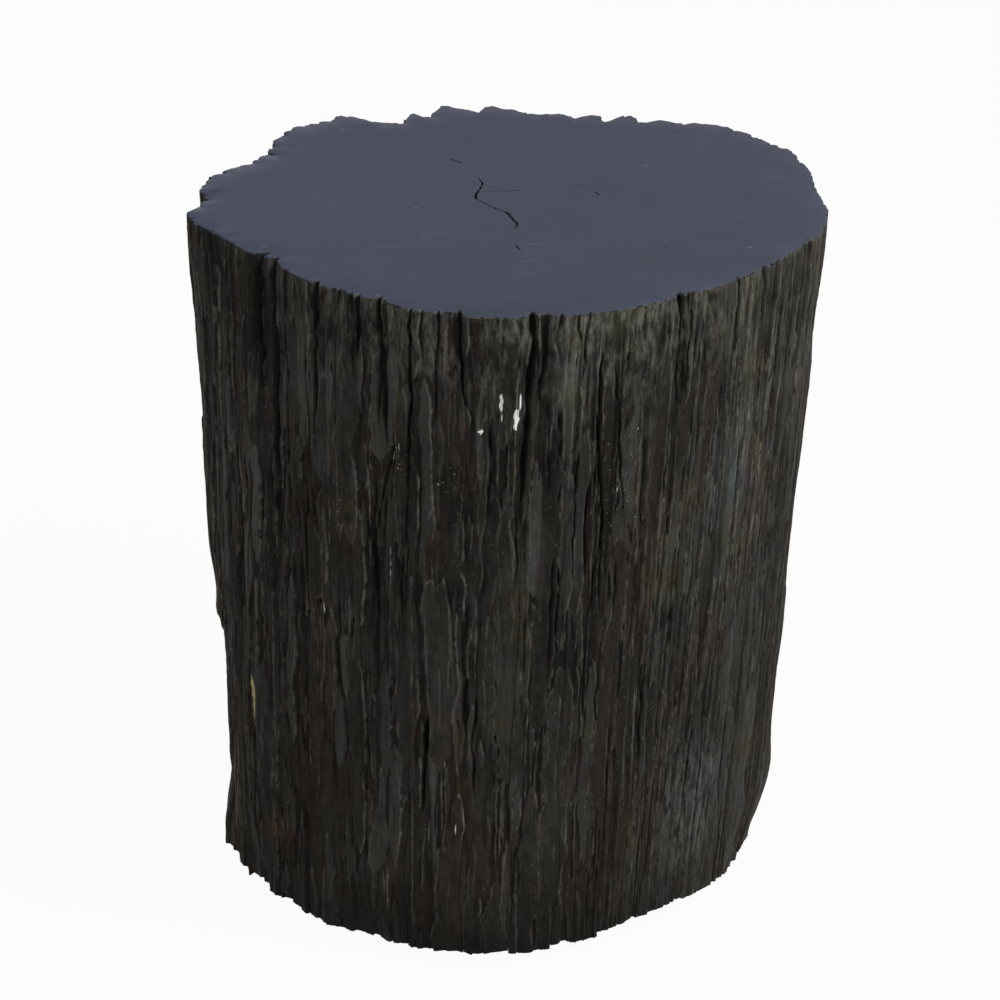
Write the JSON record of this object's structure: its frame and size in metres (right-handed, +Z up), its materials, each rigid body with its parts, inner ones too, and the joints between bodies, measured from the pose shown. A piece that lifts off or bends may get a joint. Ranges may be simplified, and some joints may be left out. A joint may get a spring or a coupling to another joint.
{
  "type": "charred log stool",
  "caption": "Stool or side table of a sawn, charred log: split rind plates round a sound heart, a smooth slate-grey sealed top and screw levelling glides under the base.",
  "frame": {"origin": "on the floor, below the middle of the top's outline", "axes": "+Z up along the log, -Y towards the picture's viewer, +X to the viewer's right"},
  "size_m": [0.3886, 0.4014, 0.434],
  "materials": {
    "heart_wood": "sawn and smoked",
    "charred_rind": "charred and brushed, rough",
    "slate_coat": "matte sealing coat",
    "insert_brass": "machined",
    "stem_steel": "zinc plated",
    "pad_nylon": "moulded nylon"
  },
  "bodies": {
    "log": {"heart_core": "heart_wood", "top_coat": "slate_coat", "rind_plate_01": "charred_rind", "rind_plate_02": "charred_rind", "rind_plate_03": "charred_rind", "rind_plate_04": "charred_rind", "rind_plate_05": "charred_rind", "rind_plate_06": "charred_rind", "rind_plate_07": "charred_rind", "rind_plate_08": "charred_rind", "rind_plate_09": "charred_rind", "rind_plate_10": "charred_rind", "rind_plate_11": "charred_rind", "rind_plate_12": "charred_rind", "rind_plate_13": "charred_rind", "rind_plate_14": "charred_rind", "rind_plate_15": "charred_rind", "rind_plate_16": "charred_rind", "rind_plate_17": "charred_rind", "rind_plate_18": "charred_rind", "rind_plate_19": "charred_rind", "rind_plate_20": "charred_rind", "rind_plate_21": "charred_rind", "rind_plate_22": "charred_rind", "rind_plate_23": "charred_rind", "rind_plate_24": "charred_rind", "rind_plate_25": "charred_rind", "rind_plate_26": "charred_rind", "rind_plate_27": "charred_rind", "rind_plate_28": "charred_rind", "rind_plate_29": "charred_rind", "rind_plate_30": "charred_rind", "glide_insert_1": "insert_brass", "glide_insert_2": "insert_brass", "glide_insert_3": "insert_brass", "glide_insert_4": "insert_brass"},
    "glide_1_foot": {"glide_pad_1": "pad_nylon"},
    "glide_1_screw": {"glide_stem_1": "stem_steel"},
    "glide_2_foot": {"glide_pad_2": "pad_nylon"},
    "glide_2_screw": {"glide_stem_2": "stem_steel"},
    "glide_3_foot": {"glide_pad_3": "pad_nylon"},
    "glide_3_screw": {"glide_stem_3": "stem_steel"},
    "glide_4_foot": {"glide_pad_4": "pad_nylon"},
    "glide_4_screw": {"glide_stem_4": "stem_steel"}
  },
  "joints": [
    {"name": "glide_1_extend", "type": "slide", "parent": "log", "child": "glide_1_foot", "axis": [0, 0, -1], "range_m": [0, 0.012]},
    {"name": "glide_1_turn", "type": "hinge", "parent": "glide_1_foot", "child": "glide_1_screw", "pos_m": [0.06405, 0.07583, 0.02], "axis": [0, 0, -1], "range_deg": [0, 3460]},
    {"name": "glide_2_extend", "type": "slide", "parent": "log", "child": "glide_2_foot", "axis": [0, 0, -1], "range_m": [0, 0.012]},
    {"name": "glide_2_turn", "type": "hinge", "parent": "glide_2_foot", "child": "glide_2_screw", "pos_m": [-0.08303, 0.07583, 0.02], "axis": [0, 0, -1], "range_deg": [0, 3460]},
    {"name": "glide_3_extend", "type": "slide", "parent": "log", "child": "glide_3_foot", "axis": [0, 0, -1], "range_m": [0, 0.012]},
    {"name": "glide_3_turn", "type": "hinge", "parent": "glide_3_foot", "child": "glide_3_screw", "pos_m": [-0.08303, -0.07125, 0.02], "axis": [0, 0, -1], "range_deg": [0, 3460]},
    {"name": "glide_4_extend", "type": "slide", "parent": "log", "child": "glide_4_foot", "axis": [0, 0, -1], "range_m": [0, 0.012]},
    {"name": "glide_4_turn", "type": "hinge", "parent": "glide_4_foot", "child": "glide_4_screw", "pos_m": [0.06405, -0.07125, 0.02], "axis": [0, 0, -1], "range_deg": [0, 3460]}
  ],
  "couplings": [
    {"joint": "glide_1_turn", "follows": "glide_1_extend", "rad_per_m": 5026.5},
    {"joint": "glide_2_turn", "follows": "glide_2_extend", "rad_per_m": 5026.5},
    {"joint": "glide_3_turn", "follows": "glide_3_extend", "rad_per_m": 5026.5},
    {"joint": "glide_4_turn", "follows": "glide_4_extend", "rad_per_m": 5026.5}
  ]
}
